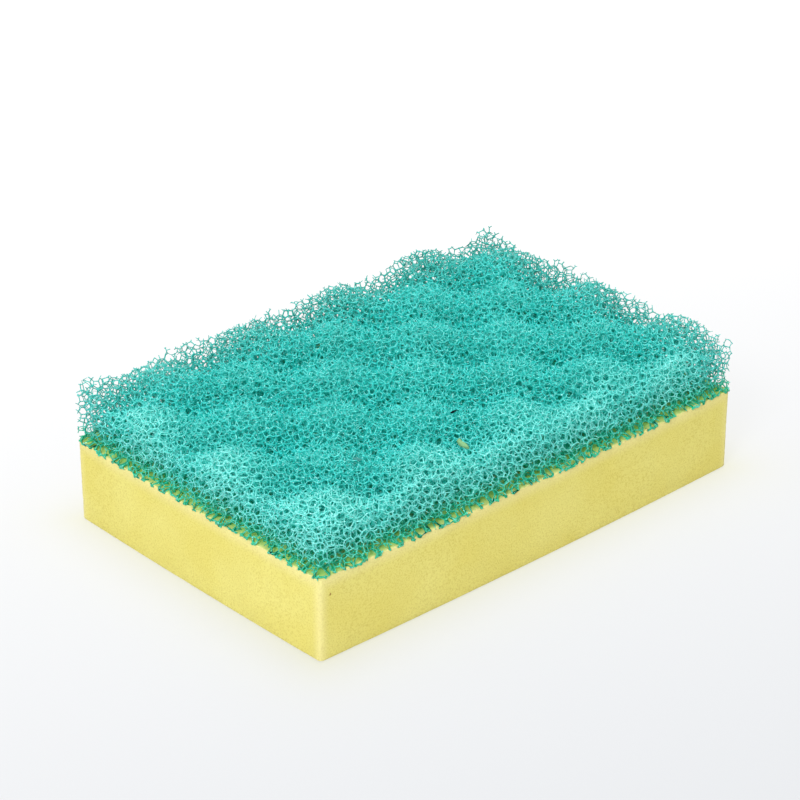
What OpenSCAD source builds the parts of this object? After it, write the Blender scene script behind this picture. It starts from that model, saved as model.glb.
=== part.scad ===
// Cleaning sponge: a block of fine yellow foam under a layer of open-cell scouring foam, whose top
// is cut to an egg-crate relief. The origin is the middle of the resting face. +X runs along the
// length, +Y across the width and +Z up.

/* [Foam block] */
// Length of the sponge
sponge_length = 150; // [90:1:220]
// Width of the sponge
sponge_width = 98; // [60:1:150]
// Thickness of the yellow foam block
block_thickness = 24; // [10:0.5:60]
// Radius of the block's upright edges and bottom edges
block_edge_radius = 1.2; // [0.4:0.1:3]

/* [Scrub layer] */
// Mean thickness of the scouring layer
layer_thickness = 15.5; // [9:0.1:30]
// Rise of a crest, and fall of a valley, from the mean
wave_rise = 2.9; // [0:0.1:5]
// Distance between two crests in one row along the length
wave_pitch_length = 33.9; // [20:0.1:60]
// Distance between two crests in one row across the width
wave_pitch_width = 31.8; // [20:0.1:60]
// Place of one crest along the length, from the middle
crest_along = -2.5; // [-30:0.1:30]
// Place of the same crest across the width, from the middle
crest_across = -7; // [-30:0.1:30]
// Turn of the waves against the sponge's edges, in degrees
wave_turn = 3.1; // [-15:0.1:15]

/* [Open cells] */
// Distance between neighbouring cell openings
cell_pitch = 4.1; // [3.9:0.1:9]
// Full depth of a cell opening in the top, away from its edges
top_cell_depth = 4; // [0:0.1:4.4]
// Full depth of a cell opening in the sides, away from the top
side_cell_depth = 2.4; // [0:0.1:2.6]
// How far the walls between cells wander from an even pattern
cell_wander = 0.35; // [0:0.05:0.5]

/* [Hidden] */

yellow = [0.94, 0.88, 0.50];
teal = [0.16, 0.66, 0.58];

// A full turn of the wave, in degrees
full_turn = 360;
// Segments of the block's rounded edges
edge_segments = 32;

// The cells lie on a lattice of triangles: one point in three is the bottom of a cell, and the rest
// are its walls
cell_bottoms = 3;
point_pitch = cell_pitch / sqrt(cell_bottoms);
lattice_angle = 60;
row_pitch = point_pitch * sin(lattice_angle);
// Points along the length and rows across the width, in whole cells so that the pattern closes
// round the sides
columns = cell_bottoms * round(sponge_length / (cell_bottoms * point_pitch));
rows = 2 * cell_bottoms * round(sponge_width / (2 * cell_bottoms * row_pitch));
column_step = sponge_length / columns;
row_step = sponge_width / rows;

// Rings of points down the sides, from the top's edge to the bond line
least_rings = 3;
side_rings = max(least_rings, round(layer_thickness / row_pitch));
ring_points = 2 * (columns + rows);

// Lattice steps from the top's edge at which the cells reach their full depth
full_depth_steps = 4;

// How far a corner of the layer is pulled in, so that it stays on the block's rounded edge
corner_inset = block_edge_radius * (1 - sqrt(1 / 2));

// Three even random shares for each point of the top, then for each point of the sides
wander_seed = 11;
top_size = (rows + 1) * (columns + 2);
side_size = side_rings * ring_points;
wander = rands(-1, 1, 3 * (top_size + side_size), wander_seed);

// Height of the egg-crate surface over the bond line
function relief(p) =
    let (
        along = p.x * cos(wave_turn) + p.y * sin(wave_turn) - crest_along,
        across = p.y * cos(wave_turn) - p.x * sin(wave_turn) - crest_across
    )
    layer_thickness
    + wave_rise * cos(full_turn * along / wave_pitch_length) * cos(full_turn * across / wave_pitch_width);

// True where a lattice point is the bottom of a cell
function is_cell(column, row) = (column - floor(row / 2) - row) % cell_bottoms == 0;

// Shift of one point, as shares of the lattice's steps in the plane and of the cell's depth
function shift(index) = cell_wander * [wander[3 * index], wander[3 * index + 1], wander[3 * index + 2]];

// Depth of a cell so many lattice steps from the top's edge, as a share of the full depth, so that the
// top's and the sides' cells keep clear of each other
function edge_share(steps) = min(1, steps / full_depth_steps);

// The top: even rows have a point at every step, odd rows are half a step off and have one point more
function row_size(row) = columns + 1 + row % 2;
function row_start(row) = row * (columns + 1) + floor(row / 2);
function row_x(row, i) = row % 2 == 0 ? i : max(0, min(columns, i - 0.5));
function from_rim(row, i) = min(row, rows - row, i, row_size(row) - 1 - i);
function flat_point(row, i) =
    [row_x(row, i) * column_step - sponge_length / 2, row * row_step - sponge_width / 2];
function inset_corner(p) =
    abs(p.x) > sponge_length / 2 - corner_inset && abs(p.y) > sponge_width / 2 - corner_inset
    ? [p.x - sign(p.x) * corner_inset, p.y - sign(p.y) * corner_inset]
    : p;
function top_point(row, i) =
    let (
        steps = from_rim(row, i),
        rim = steps == 0,
        s = shift(row_start(row) + i),
        p = flat_point(row, i),
        q = rim ? inset_corner(p) : p + [s.x * column_step, s.y * row_step] / 2,
        pit = is_cell(i - row % 2, row) ? top_cell_depth * edge_share(steps) * (1 + s.z) : 0
    )
    [q.x, q.y, block_thickness + relief(q) - pit + (rim ? s.z * top_cell_depth * edge_share(1) : 0)];

// The sides: place and outward direction of a point, counted in lattice steps round the rim
function side_place(t) =
    t < columns ? [t * column_step - sponge_length / 2, -sponge_width / 2]
    : t < columns + rows ? [sponge_length / 2, (t - columns) * row_step - sponge_width / 2]
    : t < 2 * columns + rows ? [sponge_length / 2 - (t - columns - rows) * column_step, sponge_width / 2]
    : [-sponge_length / 2, sponge_width / 2 - (t - 2 * columns - rows) * row_step];
function side_out(t) =
    t < columns ? [0, -1] : t < columns + rows ? [1, 0] : t < 2 * columns + rows ? [0, 1] : [-1, 0];
function at_corner(t) = t == 0 || t == columns || t == columns + rows || t == 2 * columns + rows;
function side_point(ring, i) =
    let (
        t = i + (ring % 2) / 2,
        foot = ring == side_rings,
        s = shift(top_size + (ring - 1) * ring_points + i),
        depth = foot || at_corner(t) ? 0 : side_cell_depth * edge_share(ring),
        pit = is_cell(i, ring) ? depth * (1 + s.z) : 0,
        q = inset_corner(side_place(t)) - side_out(t) * pit,
        share = (side_rings - ring + (foot ? 0 : s.y / 2)) / side_rings
    )
    [q.x, q.y, block_thickness + share * relief(side_place(t))];

// Numbers of the points: first the top, row by row, then the rings down the sides
function top_index(row, i) = row_start(row) + i;
top_points_end = row_start(rows) + row_size(rows);
function rim_index(t) =
    t < columns ? top_index(0, t)
    : t < columns + rows ? top_index(t - columns, row_size(t - columns) - 1)
    : t < 2 * columns + rows ? top_index(rows, 2 * columns + rows - t)
    : top_index(ring_points - t, 0);
function ring_index(ring, i) =
    let (t = i % ring_points)
    ring == 0 ? rim_index(t) : top_points_end + (ring - 1) * ring_points + t;

// Two triangles between two neighbouring rings, whose points are half a step apart
function ring_faces(ring, i) =
    ring % 2 == 0
    ? [
        [ring_index(ring, i), ring_index(ring, i + 1), ring_index(ring + 1, i)],
        [ring_index(ring, i + 1), ring_index(ring + 1, i + 1), ring_index(ring + 1, i)]
    ]
    : [
        [ring_index(ring, i), ring_index(ring + 1, i + 1), ring_index(ring + 1, i)],
        [ring_index(ring, i), ring_index(ring, i + 1), ring_index(ring + 1, i + 1)]
    ];

// Triangles of the top between an even row and the odd row beside it
function row_faces(even, odd) =
    let (turned = odd < even)
    [
        for (i = [0 : columns])
            let (f = [top_index(even, i), top_index(odd, i), top_index(odd, i + 1)])
            turned ? [f.x, f.z, f.y] : f,
        for (i = [0 : columns - 1])
            let (f = [top_index(even, i), top_index(odd, i + 1), top_index(even, i + 1)])
            turned ? [f.x, f.z, f.y] : f
    ];

module foam_block() {
    r = block_edge_radius;
    mid_length = sponge_length - 2 * r;
    mid_width = sponge_width - 2 * r;
    color(yellow) {
        // Upright part, with rounded upright edges
        translate([0, 0, r])
            linear_extrude(block_thickness - r) {
                square([sponge_length, mid_width], center = true);
                square([mid_length, sponge_width], center = true);
                for (x = [-1, 1], y = [-1, 1])
                    translate([x * mid_length / 2, y * mid_width / 2])
                        circle(r, $fn = edge_segments);
            }
        // Resting face and the rounded edges round it
        translate([-mid_length / 2, -mid_width / 2, 0])
            cube([mid_length, mid_width, r]);
        for (y = [-1, 1])
            translate([-mid_length / 2, y * mid_width / 2, r])
                rotate([0, 90, 0])
                    cylinder(h = mid_length, r = r, $fn = edge_segments);
        for (x = [-1, 1])
            translate([x * mid_length / 2, mid_width / 2, r])
                rotate([90, 0, 0])
                    cylinder(h = mid_width, r = r, $fn = edge_segments);
        for (x = [-1, 1], y = [-1, 1])
            translate([x * mid_length / 2, y * mid_width / 2, r])
                sphere(r, $fn = edge_segments);
    }
}

module scrub_layer() {
    points = [
        for (row = [0 : rows], i = [0 : row_size(row) - 1]) top_point(row, i),
        for (ring = [1 : side_rings], i = [0 : ring_points - 1]) side_point(ring, i),
        [0, 0, block_thickness]
    ];
    foot_middle = len(points) - 1;
    faces = [
        for (row = [0 : 2 : rows - 2]) each row_faces(row, row + 1),
        for (row = [2 : 2 : rows]) each row_faces(row, row - 1),
        for (ring = [0 : side_rings - 1], i = [0 : ring_points - 1]) each ring_faces(ring, i),
        for (i = [0 : ring_points - 1])
            [ring_index(side_rings, i), ring_index(side_rings, i + 1), foot_middle]
    ];
    color(teal)
        polyhedron(points, faces);
}

foam_block();
scrub_layer();
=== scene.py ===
"""A two-layer cleaning sponge: fine yellow foam under a net of open teal foam with an egg-crate top.

Lengths are in millimetres until a mesh is made, and +X, +Y, +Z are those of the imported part.
"""
import itertools
import math

import bmesh
import bpy
import numpy as np
from mathutils import Euler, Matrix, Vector, noise
from mathutils.kdtree import KDTree


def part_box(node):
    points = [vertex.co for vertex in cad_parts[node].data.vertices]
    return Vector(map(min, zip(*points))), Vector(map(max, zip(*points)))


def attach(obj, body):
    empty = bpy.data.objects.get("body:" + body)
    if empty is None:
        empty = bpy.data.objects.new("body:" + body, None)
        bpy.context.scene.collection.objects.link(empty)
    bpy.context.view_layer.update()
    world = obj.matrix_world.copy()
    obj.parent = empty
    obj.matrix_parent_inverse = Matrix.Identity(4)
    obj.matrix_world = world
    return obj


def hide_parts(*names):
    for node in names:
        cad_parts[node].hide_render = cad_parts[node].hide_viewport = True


MM = 0.001
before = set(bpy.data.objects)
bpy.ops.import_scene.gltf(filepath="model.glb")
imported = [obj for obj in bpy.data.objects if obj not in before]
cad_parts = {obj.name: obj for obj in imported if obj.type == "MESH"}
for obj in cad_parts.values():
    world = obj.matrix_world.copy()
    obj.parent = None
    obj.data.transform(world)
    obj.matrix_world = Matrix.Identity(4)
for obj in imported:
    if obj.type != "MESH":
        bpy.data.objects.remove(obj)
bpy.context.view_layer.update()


def top_corner(node):
    """Highest corner of a CAD node, in millimetres."""
    return np.array(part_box(node)[1]) / MM


BLOCK_TOP, LAYER_TOP = top_corner("foam_block"), top_corner("scrub_layer")
BOND = BLOCK_TOP[2]
HALF = BLOCK_TOP[:2]

# The egg-crate surface, as in the part's source
MEAN_THICKNESS = 15.5
WAVE_RISE = 2.9
WAVE_PITCH = np.array([33.9, 31.8])
CREST = np.array([-2.5, -7.0])
WAVE_TURN = math.radians(3.1)

# The open foam: volume of a cell, and of the coarser ones that begin at a depth where they can't be
# seen from outside
CELL_VOLUME = 16.5
DEEP_VOLUME = 44.0
DEEP = 6.6
# Half width of a strut, and the share by which the widths vary
STRUT_RADIUS = 0.18
STRUT_SPREAD = 0.15
# How far the cut is ragged, how far struts stand proud of the cut faces, and how far they hang down
# over the block's faces
RAGGED = 0.5
PROUD = 0.25
HANG = 0.7
# The net is made in so many slabs along the length, from random draws with this seed
SLABS = 5
SEED = 7
# The net's painted light, a highlight and two shades: the most that each draws the colour away, and its tint
SHADES = {
    "painted_highlight": (0.72, (0.48, 0.99, 0.93)),
    "deep": (0.9, (0.02, 0.52, 0.44)),
    "bond": (0.9, (0.036, 0.67, 0.35)),
}

# The fine foam: radii of the upright edges, of the bottom edges and of the rim on top, the spacing of
# the mesh, and how far its surface is uneven
BLOCK_EDGE = 1.2
BLOCK_FOOT = 0.6
BLOCK_RIM = 0.35
BLOCK_STEP = 0.9
BLOCK_ROUGH = 0.09

# How far the middles of the short and of the long faces bulge
BULGE = np.array([0.5, 1.0])

# Dirt that the photograph shows, and a dark lump of painted shade where the foam has a pit: name, place,
# sizes, turn, bend, colour and seed
SPECKS = (
    ("crumb", (-18.1, -39.5, 37.3), (5.2, 1.5, 1.1), (0, 0.1, -1.68), 1.2, (0.24, 0.46, 0.21), 3.0),
    ("black_sliver", (-11.7, -29.6, 40.5), (2.4, 0.7, 0.5), (0, 0, 0.05), 0.1, (0.003, 0.006, 0.008), 8.0),
    ("brown_fleck", (-46.5, -31.1, 40.0), (2.5, 1.4, 0.5), (0, 0, -1.2), 0.3, (0.06, 0.28, 0.25), 12.0),
    # A dark lump of painted shade, standing for the hollow of a pit in the foam's face
    ("foam_pit_shade", (-71.6, -49.08, 18.7), (0.55, 0.3, 0.7), (0, 0.4, 0), 0, (0.36, 0.24, 0.06), 21.0),
)


def relief(x, y):
    """Height of the egg-crate surface over the base."""
    along = x * math.cos(WAVE_TURN) + y * math.sin(WAVE_TURN) - CREST[0]
    across = y * math.cos(WAVE_TURN) - x * math.sin(WAVE_TURN) - CREST[1]
    wave = np.cos(math.tau * along / WAVE_PITCH[0]) * np.cos(math.tau * across / WAVE_PITCH[1])
    return BOND + MEAN_THICKNESS + WAVE_RISE * wave


def neighbours(points, count):
    """Numbers of the nearest other points of each point, nearest first."""
    tree = KDTree(len(points))
    for i, point in enumerate(points):
        tree.insert(point, i)
    tree.balance()
    found = [[hit[1] for hit in tree.find_n(point, count + 1)] for point in points]
    return np.array(found)[:, 1:]


def cell_centres(low, high, rng):
    """Evenly but irregularly spread centres of cells in a box: fine by the cut faces, coarse deep inside."""
    rounds, crowd = 5, 10
    wander, closest, give = 0.42, 0.45, 0.25
    points, sides = [], []
    for volume in (CELL_VOLUME, DEEP_VOLUME):
        side = (2 * volume) ** (1 / 3)
        steps = [np.arange(a, b, side) for a, b in zip(low, high)]
        grid = np.stack(np.meshgrid(*steps, indexing="ij"), -1).reshape(-1, 3)
        grid = np.concatenate([grid, grid + side / 2])
        grid = grid[(depth_inside(grid, footless=True) > DEEP) == (volume == DEEP_VOLUME)]
        jitter = wander * side
        points.append(grid + rng.uniform(-jitter, jitter, grid.shape))
        sides.append(np.full(len(grid), side))
    points, sides = np.concatenate(points), np.concatenate(sides)
    for _ in range(rounds):
        near = neighbours(points, crowd)
        away = points[:, None] - points[near]
        far = np.linalg.norm(away, axis=-1, keepdims=True)
        wanted = closest * (sides[:, None] + sides[near])[..., None]
        push = np.maximum(0, wanted - far) * away / np.maximum(far, 0.01)
        points += give * push.sum(1)
    return points


def cross(a, b):
    """Cross products of two arrays of vectors."""
    return np.stack([
        a[:, 1] * b[:, 2] - a[:, 2] * b[:, 1],
        a[:, 2] * b[:, 0] - a[:, 0] * b[:, 2],
        a[:, 0] * b[:, 1] - a[:, 1] * b[:, 0],
    ], -1)


def foam_nodes(points):
    """Where four cells meet: (places, numbers of the four cells). No fifth centre is as near as the four."""
    around = 23
    reach = 4.2
    chunk = 600
    nothing = 1e-6
    near = neighbours(points, around)
    first, second, third = np.array(list(itertools.combinations(range(around), 3))).T
    places, cells = [], []
    for start in range(0, len(points), chunk):
        own = np.arange(start, min(start + chunk, len(points)))
        nearby = near[own]
        later = nearby > own[:, None]
        row, pick = np.nonzero(later[:, first] & later[:, second] & later[:, third])
        offset = points[nearby] - points[own][:, None]
        square = (offset ** 2).sum(-1)
        trio = [t[pick] for t in (first, second, third)]
        a, b, c = (offset[row, t] for t in trio)
        aa, bb, cc = (square[row, t][:, None] for t in trio)
        bc = cross(b, c)
        volume = 2 * (a * bc).sum(-1, keepdims=True)
        solid = np.abs(volume[:, 0]) > nothing
        centre = (aa * bc + bb * cross(c, a) + cc * cross(a, b)) / np.where(solid[:, None], volume, 1)
        good = np.nonzero(solid & ((centre ** 2).sum(-1) < reach ** 2))[0]
        gap = 2 * np.einsum("mk,mnk->mn", centre[good], offset[row[good]]) - square[row[good]]
        good = good[gap.max(-1) < nothing]
        places.append(points[own[row[good]]] + centre[good])
        cells.append(np.stack([own[row[good]]] + [nearby[row[good], t[good]] for t in trio], -1))
    return np.concatenate(places), np.concatenate(cells)


def join_nodes(cells):
    """For each node, its neighbour opposite each of its four cells, or -1."""
    count = len(cells)
    cells = np.sort(cells, axis=1)
    base = cells.max() + 1
    key, owner, slot = [], [], []
    for opposite in range(4):
        i, j, k = (cells[:, t].astype(np.int64) for t in range(4) if t != opposite)
        key.append((i * base + j) * base + k)
        owner.append(np.arange(count))
        slot.append(np.full(count, opposite))
    key, owner, slot = (np.concatenate(v) for v in (key, owner, slot))
    order = np.argsort(key, kind="stable")
    key, owner, slot = key[order], owner[order], slot[order]
    same = np.nonzero(key[1:] == key[:-1])[0]
    linked = np.full((count, 4), -1)
    linked[owner[same], slot[same]] = owner[same + 1]
    linked[owner[same + 1], slot[same + 1]] = owner[same]
    return cells, linked


def even_out(places, linked):
    """Draws each node towards the middle of its neighbours, as surface tension does."""
    rounds, pull = 3, 0.45
    whole = (linked >= 0).all(1)
    for _ in range(rounds):
        middle = places[linked[whole]].mean(1)
        places[whole] += pull * (middle - places[whole])
    return places


def side_depth(p):
    """How far points lie inside the layer's side faces."""
    return np.minimum(HALF[0] - np.abs(p[:, 0]), HALF[1] - np.abs(p[:, 1]))


def depth_inside(p, footless=False):
    """How far points lie inside the layer's cut faces, and over its foot. It is negative outside."""
    slant = 0.9
    x, y, z = p.T
    side = side_depth(p)
    cut = np.minimum(side + PROUD, slant * (relief(x, y) + PROUD - z))
    return cut if footless else np.minimum(cut, z - BOND + HANG * (side < 0))


def hug_faces(places):
    """Draws the lowest nodes by the side faces out to those faces, and tells which they are."""
    lowest, highest, outermost, innermost = -1, 1, -0.3, 1.5
    proud, squeeze = 0.1, 0.6
    height = places[:, 2] - BOND
    gaps = HALF - np.abs(places[:, :2])
    gap, axis = gaps.min(1), gaps.argmin(1)
    hugging = (height > lowest) & (height < highest) & (gap > outermost) & (gap < innermost)
    own, axis = np.nonzero(hugging)[0], axis[hugging]
    places[own, axis] = np.sign(places[own, axis]) * (HALF[axis] + proud)
    places[hugging, 2] = BOND + squeeze * height[hugging]
    return places, hugging


def main_body(inside, linked):
    """The largest set of the nodes inside that hang together."""
    label = np.where(inside, np.arange(len(inside)), len(inside))
    near = np.where(linked >= 0, linked, 0)
    usable = (linked >= 0) & inside[near]
    while True:
        best = np.where(usable, label[near], len(inside)).min(1)
        new = np.where(inside, np.minimum(label, best), label)
        new = np.where(inside, new[np.minimum(new, len(inside) - 1)], new)
        if (new == label).all():
            break
        label = new
    names, sizes = np.unique(label[inside], return_counts=True)
    return inside & (label == names[sizes.argmax()])


def make_mesh(name, points, quads, triangles, material):
    """A mesh object from points in millimetres and arrays of faces: smooth quads and flat triangles."""
    mesh = bpy.data.meshes.new(name)
    mesh.vertices.add(len(points))
    mesh.vertices.foreach_set("co", (np.asarray(points) * MM).astype(np.float32).ravel())
    corners = np.concatenate([np.ravel(quads), np.ravel(triangles)]).astype(np.int32)
    sizes = np.concatenate([np.full(len(quads), 4), np.full(len(triangles), 3)])
    mesh.loops.add(len(corners))
    mesh.loops.foreach_set("vertex_index", corners)
    mesh.polygons.add(len(sizes))
    mesh.polygons.foreach_set("loop_start", (np.cumsum(sizes) - sizes).astype(np.int32))
    mesh.polygons.foreach_set("use_smooth", sizes == 4)
    mesh.update(calc_edges=True)
    mesh.validate()
    mesh.materials.append(material)
    made = bpy.data.objects.new(name, mesh)
    bpy.context.scene.collection.objects.link(made)
    return made


def bulged(points):
    """Points moved outwards with the side faces, which bulge a little in the middle."""
    points = np.array(points, float)
    share = points[:, :2] / HALF
    points[:, :2] += BULGE * share * (1 - np.minimum(np.abs(share[:, ::-1]), 1) ** 2)
    return points


# Positions, in the four corners of a node, of the three that carry the strut opposite each corner
OTHERS = np.array([[1, 2, 3], [0, 2, 3], [0, 1, 3], [0, 1, 2]])


def kept_nodes(places, linked, hugging, rng):
    """Which nodes are foam, and which of the others broke off and left a stump."""
    full_height, least_ragged = 2, 0.3
    by_face, hanging_rows = 1.5, 3
    height, side = places[:, 2] - BOND, side_depth(places)
    ragged = rng.uniform(-RAGGED, RAGGED, len(places)) * np.clip(height / full_height, least_ragged, 1)
    inside = depth_inside(places) + ragged > 0
    # A node needs a neighbour off its face, or its struts would be flat
    inside &= ~(hugging & hugging[linked].all(1))
    # A node that hangs below the bond line needs one over it, by the same face, to hang from
    held = inside & (height > 0)
    upward = (linked >= 0) & (height[linked] > height[:, None]) & (side[linked] < by_face)
    for _ in range(hanging_rows):
        held |= inside & (side < 0) & (upward & held[linked]).any(1)
    inside = main_body(held, linked)
    # A node at a dead end breaks off
    broken = inside & (((linked >= 0) & inside[linked]).sum(1) < 2)
    return inside & ~broken, broken


def half_widths(places, rng):
    """Half width of the struts at each node: thicker by the bond, further in, and where cells are coarse."""
    melt_height, skin, skin_fade, coarse_fade = 1.6, 1.5, 3, 2
    gain_melted, gain_inner, gain_coarse = 1.5, 0.45, 0.75
    buried = depth_inside(places, footless=True)
    melted = np.clip(1 - (places[:, 2] - BOND) / melt_height, 0, 1)
    inner = np.clip((buried - skin) / skin_fade, 0, 1)
    coarse = np.clip((buried - DEEP) / coarse_fade, 0, 1)
    spread = rng.uniform(1 - STRUT_SPREAD, 1 + STRUT_SPREAD, len(places))
    return STRUT_RADIUS * spread * (1 + gain_melted * melted + gain_inner * inner + gain_coarse * coarse)


def node_corners(places, linked, thick):
    """The four corners of each node. Each lies opposite the strut that its cell doesn't touch."""
    nothing = 1e-6
    known = linked >= 0
    out = places[np.where(known, linked, 0)] - places[:, None]
    length = np.linalg.norm(out, axis=-1, keepdims=True)
    out = np.where(known[..., None], out / np.maximum(length, nothing), 0)
    return places[:, None] - out * thick[:, None, None]


def strut_sides(start, end):
    """The three side faces of each strut between its two rings of three corners."""
    pairs = ((0, 1), (1, 2), (2, 0))
    return [np.stack([start[:, s], start[:, t], end[:, t], end[:, s]], -1) for s, t in pairs]


def cut_ends(places, depth, broken, a, b, ring, rng):
    """Corners at the end of each cut strut, a little past the surface, or short where its mate broke off."""
    least_share, longest_stump, taper = 0.25, 0.6, 0.8
    short, past, least_run, least_depth = -0.1, 0.25, 0.3, 0.05
    share = depth[a] / np.maximum(depth[a] - np.minimum(depth[b], -least_depth), least_depth)
    run = np.linalg.norm(places[b] - places[a], axis=-1)
    share = np.clip(share + rng.uniform(short, past, len(a)) / np.maximum(run, least_run), least_share, 1)
    share = np.where(broken[b], rng.uniform(least_share, longest_stump, len(a)), share)
    ends = places[a][:, None] + (ring - places[a][:, None]) * taper
    return ends + (places[b] - places[a])[:, None] * share[:, None, None]


def strut_net(rng):
    """The nodes and struts of the layer, in slabs along the length: a list of (points, quads, triangles)."""
    margin = 5
    low = np.array([-HALF[0], -HALF[1], BOND]) - margin
    high = np.array([HALF[0], HALF[1], LAYER_TOP[2]]) + margin
    places, cells = foam_nodes(cell_centres(low, high, rng))
    cells, linked = join_nodes(cells)
    places, hugging = hug_faces(even_out(places, linked))
    inside, broken = kept_nodes(places, linked, hugging, rng)
    corner = node_corners(places, linked, half_widths(places, rng))
    depth = depth_inside(places)
    slab = np.clip((places[:, 0] + HALF[0]) // (2 * HALF[0] / SLABS), 0, SLABS - 1).astype(int)
    made = []
    for number in range(SLABS):
        own = np.nonzero(inside & (slab == number))[0]
        index = np.full(len(places), -1)
        index[own] = np.arange(len(own))
        points, quads, triangles = [corner[own].reshape(-1, 3)], [], []

        def closed_ring(ends):
            """Adds the end corners of struts, closes them flat, and gives their numbers."""
            ring = sum(map(len, points)) + np.arange(3 * len(ends)).reshape(-1, 3)
            points.append(ends.reshape(-1, 3))
            triangles.append(ring)
            return ring

        for opposite, ring in enumerate(OTHERS):
            real = linked[own, opposite] >= 0
            mate = np.where(real, linked[own, opposite], 0)
            # The three corners of each strut, turned so that its sides face outwards
            tri = corner[own][:, ring]
            axis = places[mate] - places[own]
            turn = (np.cross(tri[:, 1] - tri[:, 0], tri[:, 2] - tri[:, 0]) * axis).sum(-1) < 0
            order = np.where(turn[:, None], ring[[0, 2, 1]], ring)
            here = 4 * index[own][:, None] + order
            # Struts between two nodes of this slab are drawn once, from the node with the lower number
            whole = real & inside[mate]
            both = whole & (slab[mate] == number)
            draw = np.nonzero(both & (own < mate))[0]
            their = cells_order(cells, own[draw], mate[draw], order[draw])
            quads += strut_sides(here[draw], 4 * index[mate[draw]][:, None] + their)
            # A strut into the next slab ends in the mate's own corners, and the mate's side closes flat
            joint = whole & (slab[mate] != number)
            onward = np.nonzero(joint & (own < mate))[0]
            their = cells_order(cells, own[onward], mate[onward], order[onward])
            quads += strut_sides(here[onward], closed_ring(corner[mate[onward][:, None], their]))
            triangles.append(here[~real | (joint & (own > mate))])
            # A cut strut closes in a small flat end
            cut = np.nonzero(real & ~inside[mate])[0]
            ends = cut_ends(places, depth, broken, own[cut], mate[cut], tri[cut], rng)
            ends = np.where(turn[cut][:, None, None], ends[:, [0, 2, 1]], ends)
            quads += strut_sides(here[cut], closed_ring(ends))
        made.append((np.concatenate(points), np.concatenate(quads), np.concatenate(triangles)))
    return made


def cells_order(cells, start, mate, order):
    """Which corners of the mate belong to the cells of the start's corners in that order."""
    wanted = np.take_along_axis(cells[start], order, 1)
    return (cells[mate][:, None, :] == wanted[:, :, None]).argmax(-1)


def principled(name):
    """A material, its nodes, links and shader."""
    material = bpy.data.materials.new(name)
    material.use_nodes = True
    nodes, links = material.node_tree.nodes, material.node_tree.links
    return material, nodes, links, nodes["Principled BSDF"]


def shades(points):
    """How much painted highlight, and painted shade by the back edges and by the bond, the net gets at each
    point, from 0 to 1.
    """
    edge_reach, skin_depth, clear_height, clear_fade = 16, 9, 1.5, 4
    back_reach, stain_height, stain_curve = 12, 6, 1.3
    x, y, z = points.T
    side, height = side_depth(points), z - BOND
    crest = (relief(x, y) - BOND - MEAN_THICKNESS) / WAVE_RISE
    back = 0.5 + (x / HALF[0] + y / HALF[1]) / 4
    # Painted highlight: along the front edges and a little on the crests, not far in and not by the bond
    edge = (1.1 - 0.7 * back) * np.clip(1 - side / edge_reach, 0, 1) * (0.75 + 0.25 * crest)
    skin = np.clip(1 - np.minimum(side, relief(x, y) - z) / skin_depth, 0, 1)
    clear = np.clip((height - clear_height) / clear_fade, 0, 1)
    painted_highlight = clear * skin * np.clip(edge + 0.10 * (1 + crest), 0, 1)
    # Painted shade: darker along the two back edges
    deep = (0.5 + 0.5 * back) * np.clip(1.2 - np.min(HALF - points[:, :2], axis=1) / back_reach, 0, 1)
    # Painted shade by the bond, greener with light off the yellow block
    return painted_highlight, deep, np.clip(1.1 - height / stain_height, 0, 1) ** stain_curve


def feed(links, value, socket):
    """Links a value to a socket, or sets the socket to it where it is a plain number."""
    if isinstance(value, bpy.types.NodeSocket):
        links.new(value, socket)
    else:
        socket.default_value = value


def reckon(nodes, links, operation, *values):
    """The result of one step of arithmetic between sockets or numbers."""
    step = nodes.new("ShaderNodeMath")
    step.operation = operation
    for socket, value in zip(step.inputs, values):
        feed(links, value, socket)
    return step.outputs["Value"]


def rise(nodes, links, value, low, high):
    """0 where a value is below the low one, 1 above the high one, and smooth between."""
    step = nodes.new("ShaderNodeMapRange")
    step.interpolation_type = "SMOOTHSTEP"
    step.inputs["From Min"].default_value = low
    step.inputs["From Max"].default_value = high
    links.new(value, step.inputs["Value"])
    return step.outputs["Result"]


def spread(nodes, links, value, low, high):
    """A value from 0 to 1 spread between two numbers."""
    step = nodes.new("ShaderNodeMapRange")
    step.inputs["To Min"].default_value = low
    step.inputs["To Max"].default_value = high
    links.new(value, step.inputs["Value"])
    return step.outputs["Result"]


def texture(nodes, links, kind, place, **values):
    """A procedural texture in the object's own space, with values for its inputs."""
    made = nodes.new("ShaderNodeTex" + kind)
    for name, value in values.items():
        made.inputs[name].default_value = value
    links.new(place.outputs["Object"], made.inputs["Vector"])
    return made


def ramp(nodes, links, value, *stops):
    """A colour that runs through stops of (position, colour) with a value."""
    made = nodes.new("ShaderNodeValToRGB")
    elements = made.color_ramp.elements
    for element, (position, colour) in zip(elements, (stops[0], stops[-1])):
        element.position = position
        element.color = (*colour, 1)
    for position, colour in stops[1:-1]:
        elements.new(position).color = (*colour, 1)
    links.new(value, made.inputs["Fac"])
    return made.outputs["Color"]


def tinted(nodes, links, colour, share, tint, most=1.0, blend="MIX"):
    """Colour drawn towards a tint, or with MULTIPLY towards its product, by a share of at most so much."""
    mix = nodes.new("ShaderNodeMix")
    mix.data_type = "RGBA"
    mix.blend_type = blend
    mix.inputs["B"].default_value = (*tint, 1)
    links.new(reckon(nodes, links, "MULTIPLY", share, most), mix.inputs["Factor"])
    links.new(colour, mix.inputs["A"])
    return mix.outputs["Result"]


def bumped(nodes, links, shader, height, strength, distance):
    """Gives a shader a fine relief."""
    bump = nodes.new("ShaderNodeBump")
    bump.inputs["Strength"].default_value = strength
    bump.inputs["Distance"].default_value = distance
    links.new(height, bump.inputs["Height"])
    links.new(bump.outputs["Normal"], shader.inputs["Normal"])


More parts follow.
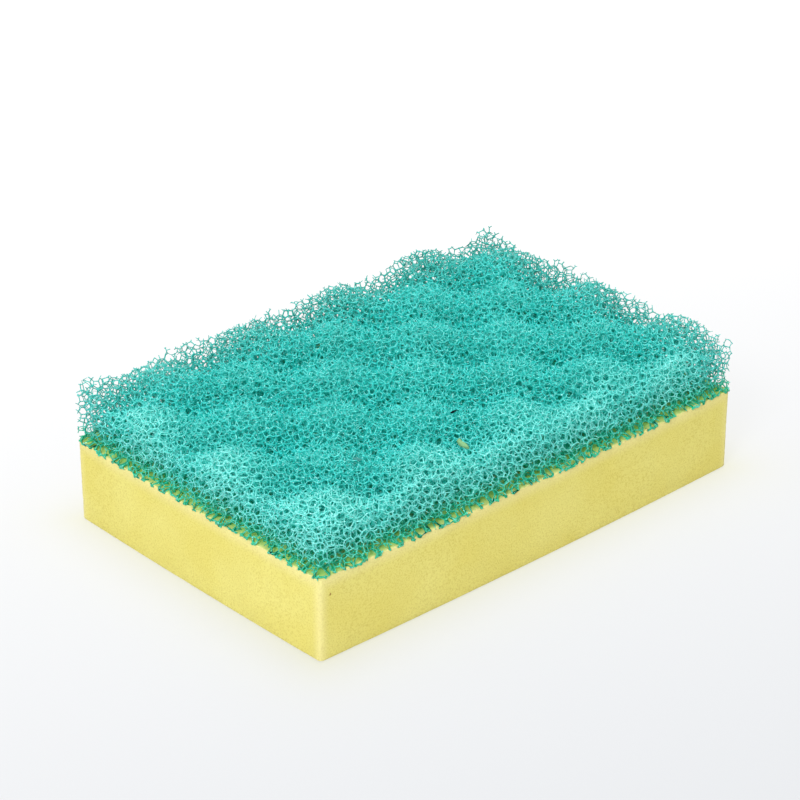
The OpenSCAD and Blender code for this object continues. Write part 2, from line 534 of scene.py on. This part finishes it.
def mixed(nodes, links, share, first, second):
    """A mix of two shaders, by the share of the second."""
    mix = nodes.new("ShaderNodeMixShader")
    feed(links, share, mix.inputs["Fac"])
    links.new(first, mix.inputs[1])
    links.new(second, mix.inputs[2])
    return mix.outputs["Shader"]


def teal_foam():
    """Satin struts that let light through: painted highlight by the front edges, painted shade by the back
    edges and the bond.
    """
    material, nodes, links, shader = principled("teal_net")
    place = nodes.new("ShaderNodeTexCoord")
    patches = texture(nodes, links, "Noise", place, Scale=90, Detail=3).outputs["Fac"]
    tone = ramp(nodes, links, patches, (0.3, (0.035, 0.735, 0.675)), (0.7, (0.058, 0.815, 0.765)))
    for name, (most, tint) in SHADES.items():
        share = nodes.new("ShaderNodeAttribute")
        share.attribute_name = name
        tone = tinted(nodes, links, tone, share.outputs["Fac"], tint, most)
    # Painted glints: short pale lengths of strut at random places, standing in for light caught on the struts
    glint_noise = texture(nodes, links, "Noise", place, Scale=1100, Detail=0)
    pale = rise(nodes, links, glint_noise.outputs["Fac"], 0.60, 0.70)
    tone = tinted(nodes, links, tone, pale, (0.32, 0.98, 0.92), 0.5)
    links.new(tone, shader.inputs["Base Color"])
    links.new(spread(nodes, links, patches, 0.08, 0.22), shader.inputs["Roughness"])
    shader.inputs["Specular IOR Level"].default_value = 0.75
    shader.inputs["Coat Weight"].default_value = 0.35
    shader.inputs["Coat Roughness"].default_value = 0.08
    # Light that the struts pass on to each other
    shader.inputs["Emission Color"].default_value = (0.02, 0.60, 0.50, 1)
    shader.inputs["Emission Strength"].default_value = 0.06
    grain = texture(nodes, links, "Noise", place, Scale=2500)
    bumped(nodes, links, shader, grain.outputs["Fac"], 0.15, 0.05 * MM)
    through = nodes.new("ShaderNodeBsdfTranslucent")
    links.new(tone, through.inputs["Color"])
    surface = mixed(nodes, links, 0.5, shader.outputs["BSDF"], through.outputs["BSDF"])
    links.new(surface, nodes["Material Output"].inputs["Surface"])
    return material


def block_gaps(nodes, links, split):
    """Distance from the nearest side face of the block, and from its nearest upright edge."""
    gaps = []
    for axis, half in zip("XY", HALF):
        away = reckon(nodes, links, "ABSOLUTE", split.outputs[axis])
        gaps.append(reckon(nodes, links, "MULTIPLY_ADD", away, -1.0, half * MM))
    return reckon(nodes, links, "MINIMUM", *gaps), reckon(nodes, links, "MAXIMUM", *gaps)


def yellow_foam():
    """Matt foam of fine pores, paler along its edges and green from the net's light on top."""
    material, nodes, links, shader = principled("yellow_fine_foam")
    shader.inputs["Specular IOR Level"].default_value = 0.15
    place = nodes.new("ShaderNodeTexCoord")
    clouds = texture(nodes, links, "Noise", place, Scale=60, Detail=3).outputs["Fac"]
    grain = texture(nodes, links, "Noise", place, Scale=2200, Detail=4).outputs["Fac"]
    pores = texture(nodes, links, "Voronoi", place, Scale=2600).outputs["Distance"]
    colour = ramp(nodes, links, clouds, (0.35, (0.640, 0.566, 0.142)), (0.65, (0.665, 0.604, 0.176)))
    colour = tinted(nodes, links, colour, rise(nodes, links, grain, 0.42, 0.72), (0.46, 0.36, 0.06), 0.5)
    split = nodes.new("ShaderNodeSeparateXYZ")
    links.new(place.outputs["Object"], split.inputs["Vector"])
    height = split.outputs["Z"]
    side, edge = block_gaps(nodes, links, split)
    # Paler along the rim and the upright edges
    rim = rise(nodes, links, height, (BOND - 4.5) * MM, (BOND - 0.5) * MM)
    upright = reckon(nodes, links, "SUBTRACT", 1.0, rise(nodes, links, edge, 0.0, 3.5 * MM))
    pale = reckon(nodes, links, "MAXIMUM", rim, upright)
    colour = tinted(nodes, links, colour, pale, (0.80, 0.735, 0.42), 0.3)
    # The top: yellow-green along the rim, where light comes out of the foam, and dark under the net
    top = rise(nodes, links, height, (BOND - 0.12) * MM, (BOND - 0.02) * MM)
    under = rise(nodes, links, side, 1.5 * MM, 11.0 * MM)
    glow = reckon(nodes, links, "MULTIPLY", top, reckon(nodes, links, "SUBTRACT", 1.0, under))
    inward = rise(nodes, links, side, -1.5 * MM, 2.5 * MM)
    green = reckon(nodes, links, "MULTIPLY", glow, inward)
    colour = tinted(nodes, links, colour, green, (0.36, 0.63, 0.16), 0.9)
    shade = reckon(nodes, links, "MULTIPLY", top, under)
    colour = tinted(nodes, links, colour, shade, (0.05, 0.60, 0.38), 0.95)
    links.new(colour, shader.inputs["Base Color"])
    shader.inputs["Emission Color"].default_value = (0.62, 0.85, 0.05, 1)
    links.new(reckon(nodes, links, "MULTIPLY", glow, 0.06), shader.inputs["Emission Strength"])
    links.new(spread(nodes, links, grain, 0.8, 1.0), shader.inputs["Roughness"])
    bumped(nodes, links, shader, pores, 0.5, 0.15 * MM)
    return material


def block_outline():
    """Places round the block as seen from above, and the outward direction at each."""
    bends = 3
    straight = HALF - BLOCK_EDGE
    places, directions = [], []
    for side in range(4):
        turn = side * math.pi / 2
        off, along = (HALF[0], straight[1]) if side % 2 == 0 else (HALF[1], straight[0])
        c, s = math.cos(turn), math.sin(turn)
        count = round(2 * along / BLOCK_STEP)
        for i in range(count + 1):
            u = -along + 2 * along * i / count
            places.append((off * c - u * s, off * s + u * c))
            directions.append((c, s))
        x = math.copysign(straight[0], math.cos(turn + math.pi / 4))
        y = math.copysign(straight[1], math.sin(turn + math.pi / 4))
        for i in range(1, bends):
            angle = turn + math.pi / 2 * i / bends
            c, s = math.cos(angle), math.sin(angle)
            places.append((x + BLOCK_EDGE * c, y + BLOCK_EDGE * s))
            directions.append((c, s))
    return np.array(places), np.array(directions)


def block_rings():
    """Heights and insets of the rings round the block, from the resting face to the bond line."""
    bends = 4
    arc = [math.pi / 2 * i / bends for i in range(bends + 1)]
    foot = [(BLOCK_FOOT * (1 - math.sin(a)), BLOCK_FOOT * (1 - math.cos(a))) for a in arc]
    rim = [(BOND - BLOCK_RIM * (1 - math.sin(a)), BLOCK_RIM * (1 - math.cos(a))) for a in arc]
    upright = BOND - BLOCK_FOOT - BLOCK_RIM
    levels = round(upright / BLOCK_STEP)
    sides = [(BLOCK_FOOT + upright * i / levels, 0) for i in range(1, levels)]
    return sorted(set(foot + sides + rim))


def foam_block(material):
    """The yellow block: rounded upright and bottom edges, a tighter rim on top, and an uneven cut surface."""
    fine, broad = 0.9, 0.12
    flat, out = block_outline()
    rings = block_rings()
    points = []
    for z, inset in rings:
        for (x, y), (nx, ny) in zip(flat - out * inset, out):
            at = Vector((x, y, z))
            wobble = BLOCK_ROUGH * noise.noise(at * fine) + BLOCK_ROUGH * noise.noise(at * broad)
            # The resting face's and the rim's edges only go inwards
            wobble = wobble if BLOCK_FOOT / 2 < z < BOND - BLOCK_RIM / 2 else min(wobble, 0)
            points.append((x + nx * wobble, y + ny * wobble, z))
    count = len(flat)
    i = np.arange(count)
    j = (i + 1) % count
    quads = np.concatenate([
        np.stack([r * count + i, r * count + j, (r + 1) * count + j, (r + 1) * count + i], -1)
        for r in range(len(rings) - 1)
    ])
    made = make_mesh("yellow_foam_block", bulged(points), quads, np.zeros((0, 3), int), material)
    shape = bmesh.new()
    shape.from_mesh(made.data)
    shape.verts.ensure_lookup_table()
    last = (len(rings) - 1) * count
    shape.faces.new([shape.verts[k] for k in reversed(range(count))])
    shape.faces.new([shape.verts[last + k] for k in range(count)])
    shape.to_mesh(made.data)
    shape.free()
    return made


def speck(name, place, size, turn, bend, colour, seed):
    """A small irregular crumb: sizes along its own axes, turned, and bent across its length."""
    material, nodes, links, shader = principled(name + "_finish")
    shader.inputs["Roughness"].default_value = 0.9
    shader.inputs["Specular IOR Level"].default_value = 0.05
    blots = nodes.new("ShaderNodeTexNoise")
    blots.inputs["Scale"].default_value = 1500
    dark = tuple(0.5 * c for c in colour)
    tone = ramp(nodes, links, blots.outputs["Fac"], (0.0, dark), (1.0, colour))
    links.new(tone, shader.inputs["Base Color"])
    shape = bmesh.new()
    bmesh.ops.create_icosphere(shape, subdivisions=3, radius=1)
    lump, lumps = 0.35, 1.6
    for v in shape.verts:
        v.co *= 1 + lump * noise.noise(v.co * lumps + Vector((seed, 0, 0)))
        v.co = Vector((v.co.x * size[0], v.co.y * size[1] + bend * v.co.x ** 2, v.co.z * size[2])) * MM / 2
        v.co.rotate(turn)
        v.co += Vector(place) * MM
    mesh = bpy.data.meshes.new(name)
    shape.to_mesh(mesh)
    shape.free()
    mesh.materials.append(material)
    for p in mesh.polygons:
        p.use_smooth = True
    made = bpy.data.objects.new(name, mesh)
    bpy.context.scene.collection.objects.link(made)
    return made


def floor_tone(nodes, links):
    """The floor's colour to the camera: white behind the sponge, greyer in front, and cream at its feet."""
    backwards, front, behind = (0.33, 0.944, 0), -0.18, 0.32
    reach = 9 * MM
    place = nodes.new("ShaderNodeTexCoord").outputs["Object"]
    split = nodes.new("ShaderNodeVectorMath")
    split.operation = "DOT_PRODUCT"
    split.inputs[1].default_value = backwards
    links.new(place, split.inputs[0])
    fade = nodes.new("ShaderNodeMapRange")
    fade.inputs["From Min"].default_value = front
    fade.inputs["From Max"].default_value = behind
    links.new(split.outputs["Value"], fade.inputs["Value"])
    stops = (0.0, (0.620, 0.635, 0.652)), (0.6, (0.82, 0.82, 0.82)), (1.0, (1, 1, 1))
    tone = ramp(nodes, links, fade.outputs["Result"], *stops)
    # Light off the foam's faces turns the floor cream near the block's outline
    away = place
    steps = (("ABSOLUTE", None), ("SUBTRACT", (*HALF * MM, 0)), ("MAXIMUM", (0, 0, 0)), ("LENGTH", None))
    for operation, value in steps:
        step = nodes.new("ShaderNodeVectorMath")
        step.operation = operation
        links.new(away, step.inputs[0])
        if value:
            step.inputs[1].default_value = value
        away = step.outputs["Value" if operation == "LENGTH" else "Vector"]
    near = reckon(nodes, links, "EXPONENT", reckon(nodes, links, "MULTIPLY", away, -1 / reach))
    return tinted(nodes, links, tone, near, (1.0, 0.985, 0.80), blend="MULTIPLY")


def floor():
    """A wide pale floor, with the sponge's soft shadow and a tone of its own to the camera."""
    material = bpy.data.materials.new("floor")
    material.use_nodes = True
    nodes, links = material.node_tree.nodes, material.node_tree.links
    nodes.clear()
    out = nodes.new("ShaderNodeOutputMaterial")
    lit = nodes.new("ShaderNodeBsdfDiffuse")
    lit.inputs["Color"].default_value = (0.75, 0.75, 0.75, 1)
    glow = nodes.new("ShaderNodeEmission")
    glow.inputs["Strength"].default_value = 1.2
    links.new(floor_tone(nodes, links), glow.inputs["Color"])
    path = nodes.new("ShaderNodeLightPath")
    seen = reckon(nodes, links, "MULTIPLY", path.outputs["Is Camera Ray"], 0.85)
    links.new(mixed(nodes, links, seen, lit.outputs["BSDF"], glow.outputs["Emission"]), out.inputs["Surface"])
    wide = 5000
    corners = wide * np.array([[-1, -1, 0], [1, -1, 0], [1, 1, 0], [-1, 1, 0]])
    made = make_mesh("floor", corners, np.array([[0, 1, 2, 3]]), np.zeros((0, 3), int), material)
    made.location.z = -0.2 * MM


def softbox(name, place, size, watts, colour):
    """A square area lamp that looks at the sponge."""
    aim = (0, 0, 0.03)
    light = bpy.data.lights.new(name, "AREA")
    light.shape = "SQUARE"
    light.size = size
    light.energy = watts
    light.color = colour
    made = bpy.data.objects.new(name, light)
    made.location = place
    made.rotation_euler = (Vector(aim) - Vector(place)).to_track_quat("-Z", "Y").to_euler()
    bpy.context.scene.collection.objects.link(made)


def lighting():
    """A white surround and two soft lamps."""
    world = bpy.data.worlds.new("studio")
    bpy.context.scene.world = world
    world.use_nodes = True
    nodes, links = world.node_tree.nodes, world.node_tree.links
    back = nodes["Background"]
    back.inputs["Color"].default_value = (1, 1, 1, 1)
    path = nodes.new("ShaderNodeLightPath")
    direct = reckon(nodes, links, "MAXIMUM", path.outputs["Is Camera Ray"], path.outputs["Is Glossy Ray"])
    direct = reckon(nodes, links, "MAXIMUM", direct, path.outputs["Is Transmission Ray"])
    links.new(spread(nodes, links, direct, 0.60, 1.0), back.inputs["Strength"])
    softbox("key", (-1.1, -0.55, 0.95), 0.4, 14, (0.98, 1.0, 1.13))
    softbox("fill", (0.05, 0.0, 1.4), 0.9, 17.5, (1, 1, 1))


def camera():
    """The photograph's viewpoint."""
    yaw, tilt = math.radians(-42.4735), math.radians(27.606)
    data = bpy.data.cameras.new("camera")
    data.lens = 130
    data.sensor_width = 36
    data.clip_start, data.clip_end = 0.05, 20
    made = bpy.data.objects.new("camera", data)
    made.location = (-0.46905, -0.50866, 0.39017)
    back = Vector((math.sin(yaw) * math.cos(tilt), -math.cos(yaw) * math.cos(tilt), math.sin(tilt)))
    made.rotation_euler = (-back).to_track_quat("-Z", "Y").to_euler()
    bpy.context.scene.collection.objects.link(made)
    bpy.context.scene.camera = made


bpy.context.scene.view_settings.view_transform = "Standard"
camera()
lighting()
floor()
teal = teal_foam()
for number, (points, quads, triangles) in enumerate(strut_net(np.random.default_rng(SEED))):
    piece = make_mesh(f"teal_net_{number + 1}", bulged(points), quads, triangles, teal)
    for name, values in zip(SHADES, shades(points)):
        piece.data.attributes.new(name, "FLOAT", "POINT").data.foreach_set("value", values.astype(np.float32))
    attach(piece, "root")
    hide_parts("scrub_layer")
block = foam_block(yellow_foam())
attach(block, "root")
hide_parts("foam_block")

for name, place, size, turn, bend, colour, seed in SPECKS:
    bit = speck(name, place, size, Euler(turn), bend, colour, seed)
    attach(bit, "root")
